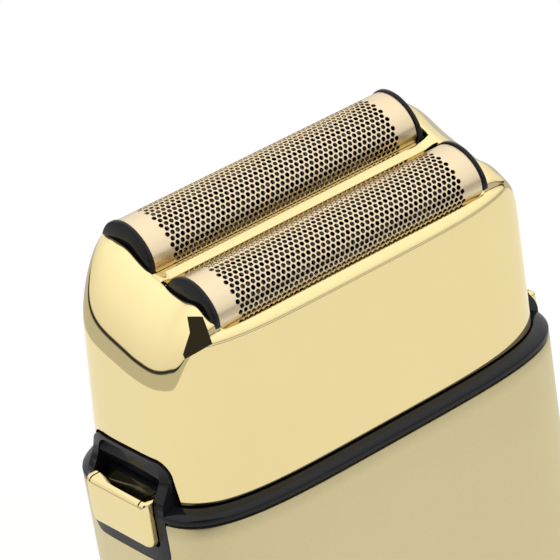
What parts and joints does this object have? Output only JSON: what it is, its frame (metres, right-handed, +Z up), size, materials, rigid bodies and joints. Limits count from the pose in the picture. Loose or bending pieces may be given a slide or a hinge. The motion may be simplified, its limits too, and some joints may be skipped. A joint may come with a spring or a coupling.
{
  "type": "foil shaver",
  "caption": "Cordless foil shaver with a tilted lift-off foil head, side release buttons, oscillating spring-loaded cutters and a slim gold body.",
  "frame": {"origin": "centre of the bounding box's bottom face, on the surface that the shaver stands on", "axes": "+Z up along the body, X along the foils, -Y towards the front with the power button"},
  "size_m": [0.0666, 0.0318, 0.1102],
  "materials": {
    "mirror_gold": "mirror-polished pale gold plating",
    "satin_gold": "satin pale gold anodising",
    "foil_metal": "thin champagne-gold plated foil",
    "gloss_black": "gloss black moulding",
    "matte_black": "fine matte black moulding",
    "steel": "plated steel",
    "spring_steel": "drawn spring wire",
    "blade_steel": "ground stainless blades",
    "white_plastic": "natural acetal moulding",
    "seal_rubber": "soft black rubber",
    "board_green": "solder-masked fibreglass board",
    "battery_wrap": "blue shrink wrap over a steel can",
    "clear_lens": "clear moulded lens"
  },
  "bodies": {
    "body": {"trim_ring": "gloss_black", "body_shell": "satin_gold", "left_release_spring": "spring_steel", "right_release_spring": "spring_steel", "drive_deck": "matte_black", "hair_seal": "seal_rubber", "front_post_seal": "seal_rubber", "rear_post_seal": "seal_rubber", "motor": "steel", "motor_bracket": "steel", "motor_left_screw": "steel", "motor_right_screw": "steel", "front_chassis": "matte_black", "rear_chassis": "matte_black", "bottom_cap": "gloss_black", "charging_socket": "matte_black", "battery": "battery_wrap", "battery_positive_contact": "steel", "battery_negative_contact": "steel", "circuit_board": "board_green", "power_switch": "matte_black", "indicator_lens": "clear_lens", "indicator_led": "clear_lens", "deck_screw_1": "steel", "deck_screw_2": "steel", "deck_screw_3": "steel", "deck_screw_4": "steel", "base_screw_1": "steel", "board_screw_1": "steel", "base_screw_2": "steel", "board_screw_2": "steel"},
    "head": {"head_cover": "mirror_gold", "foil_frame": "matte_black", "front_foil": "foil_metal", "rear_foil": "foil_metal", "front_foil_left_cap": "gloss_black", "front_foil_right_cap": "gloss_black", "rear_foil_left_cap": "gloss_black", "rear_foil_right_cap": "gloss_black"},
    "front_drive": {"front_oscillator": "white_plastic", "front_cutter_left_spring": "spring_steel", "front_cutter_right_spring": "spring_steel"},
    "front_blades": {"front_cutter": "blade_steel", "front_cutter_carrier": "white_plastic"},
    "rear_drive": {"rear_oscillator": "white_plastic", "rear_cutter_left_spring": "spring_steel", "rear_cutter_right_spring": "spring_steel"},
    "rear_blades": {"rear_cutter": "blade_steel", "rear_cutter_carrier": "white_plastic"},
    "rotor": {"eccentric_cam": "white_plastic", "motor_shaft": "steel"},
    "left_button": {"left_release_button": "mirror_gold"},
    "right_button": {"right_release_button": "mirror_gold"},
    "power_key": {"power_button": "mirror_gold"}
  },
  "joints": [
    {"name": "head_lift", "type": "slide", "parent": "body", "child": "head", "axis": [0, 0, 1], "range_m": [0, 0.045]},
    {"name": "left_release_press", "type": "slide", "parent": "body", "child": "left_button", "axis": [1, 0, 0], "range_m": [0, 0.0015], "stiffness_N_per_m": 900, "deforming": ["left_release_spring"]},
    {"name": "right_release_press", "type": "slide", "parent": "body", "child": "right_button", "axis": [-1, 0, 0], "range_m": [0, 0.0015], "stiffness_N_per_m": 900, "deforming": ["right_release_spring"]},
    {"name": "power_button_press", "type": "slide", "parent": "body", "child": "power_key", "axis": [0, 1, 0], "range_m": [0, 0.0006], "stiffness_N_per_m": 1200},
    {"name": "motor_spin", "type": "hinge", "parent": "body", "child": "rotor", "pos_m": [0, 0, 0.0755], "axis": [0, 0, 1], "continuous": true},
    {"name": "front_oscillation", "type": "slide", "parent": "body", "child": "front_drive", "axis": [1, 0, 0], "range_m": [-0.0012, 0.0012]},
    {"name": "rear_oscillation", "type": "slide", "parent": "body", "child": "rear_drive", "axis": [1, 0, 0], "range_m": [-0.0012, 0.0012]},
    {"name": "front_cutter_float", "type": "slide", "parent": "front_drive", "child": "front_blades", "axis": [0, -0.3355, 0.9421], "range_m": [-0.0013, 0], "stiffness_N_per_m": 500, "deforming": ["front_cutter_left_spring", "front_cutter_right_spring"]},
    {"name": "rear_cutter_float", "type": "slide", "parent": "rear_drive", "child": "rear_blades", "axis": [0, -0.3355, 0.9421], "range_m": [-0.0013, 0], "stiffness_N_per_m": 500, "deforming": ["rear_cutter_left_spring", "rear_cutter_right_spring"]}
  ],
  "couplings": [
    {"joint": "rear_oscillation", "follows": "front_oscillation", "ratio": -1}
  ]
}
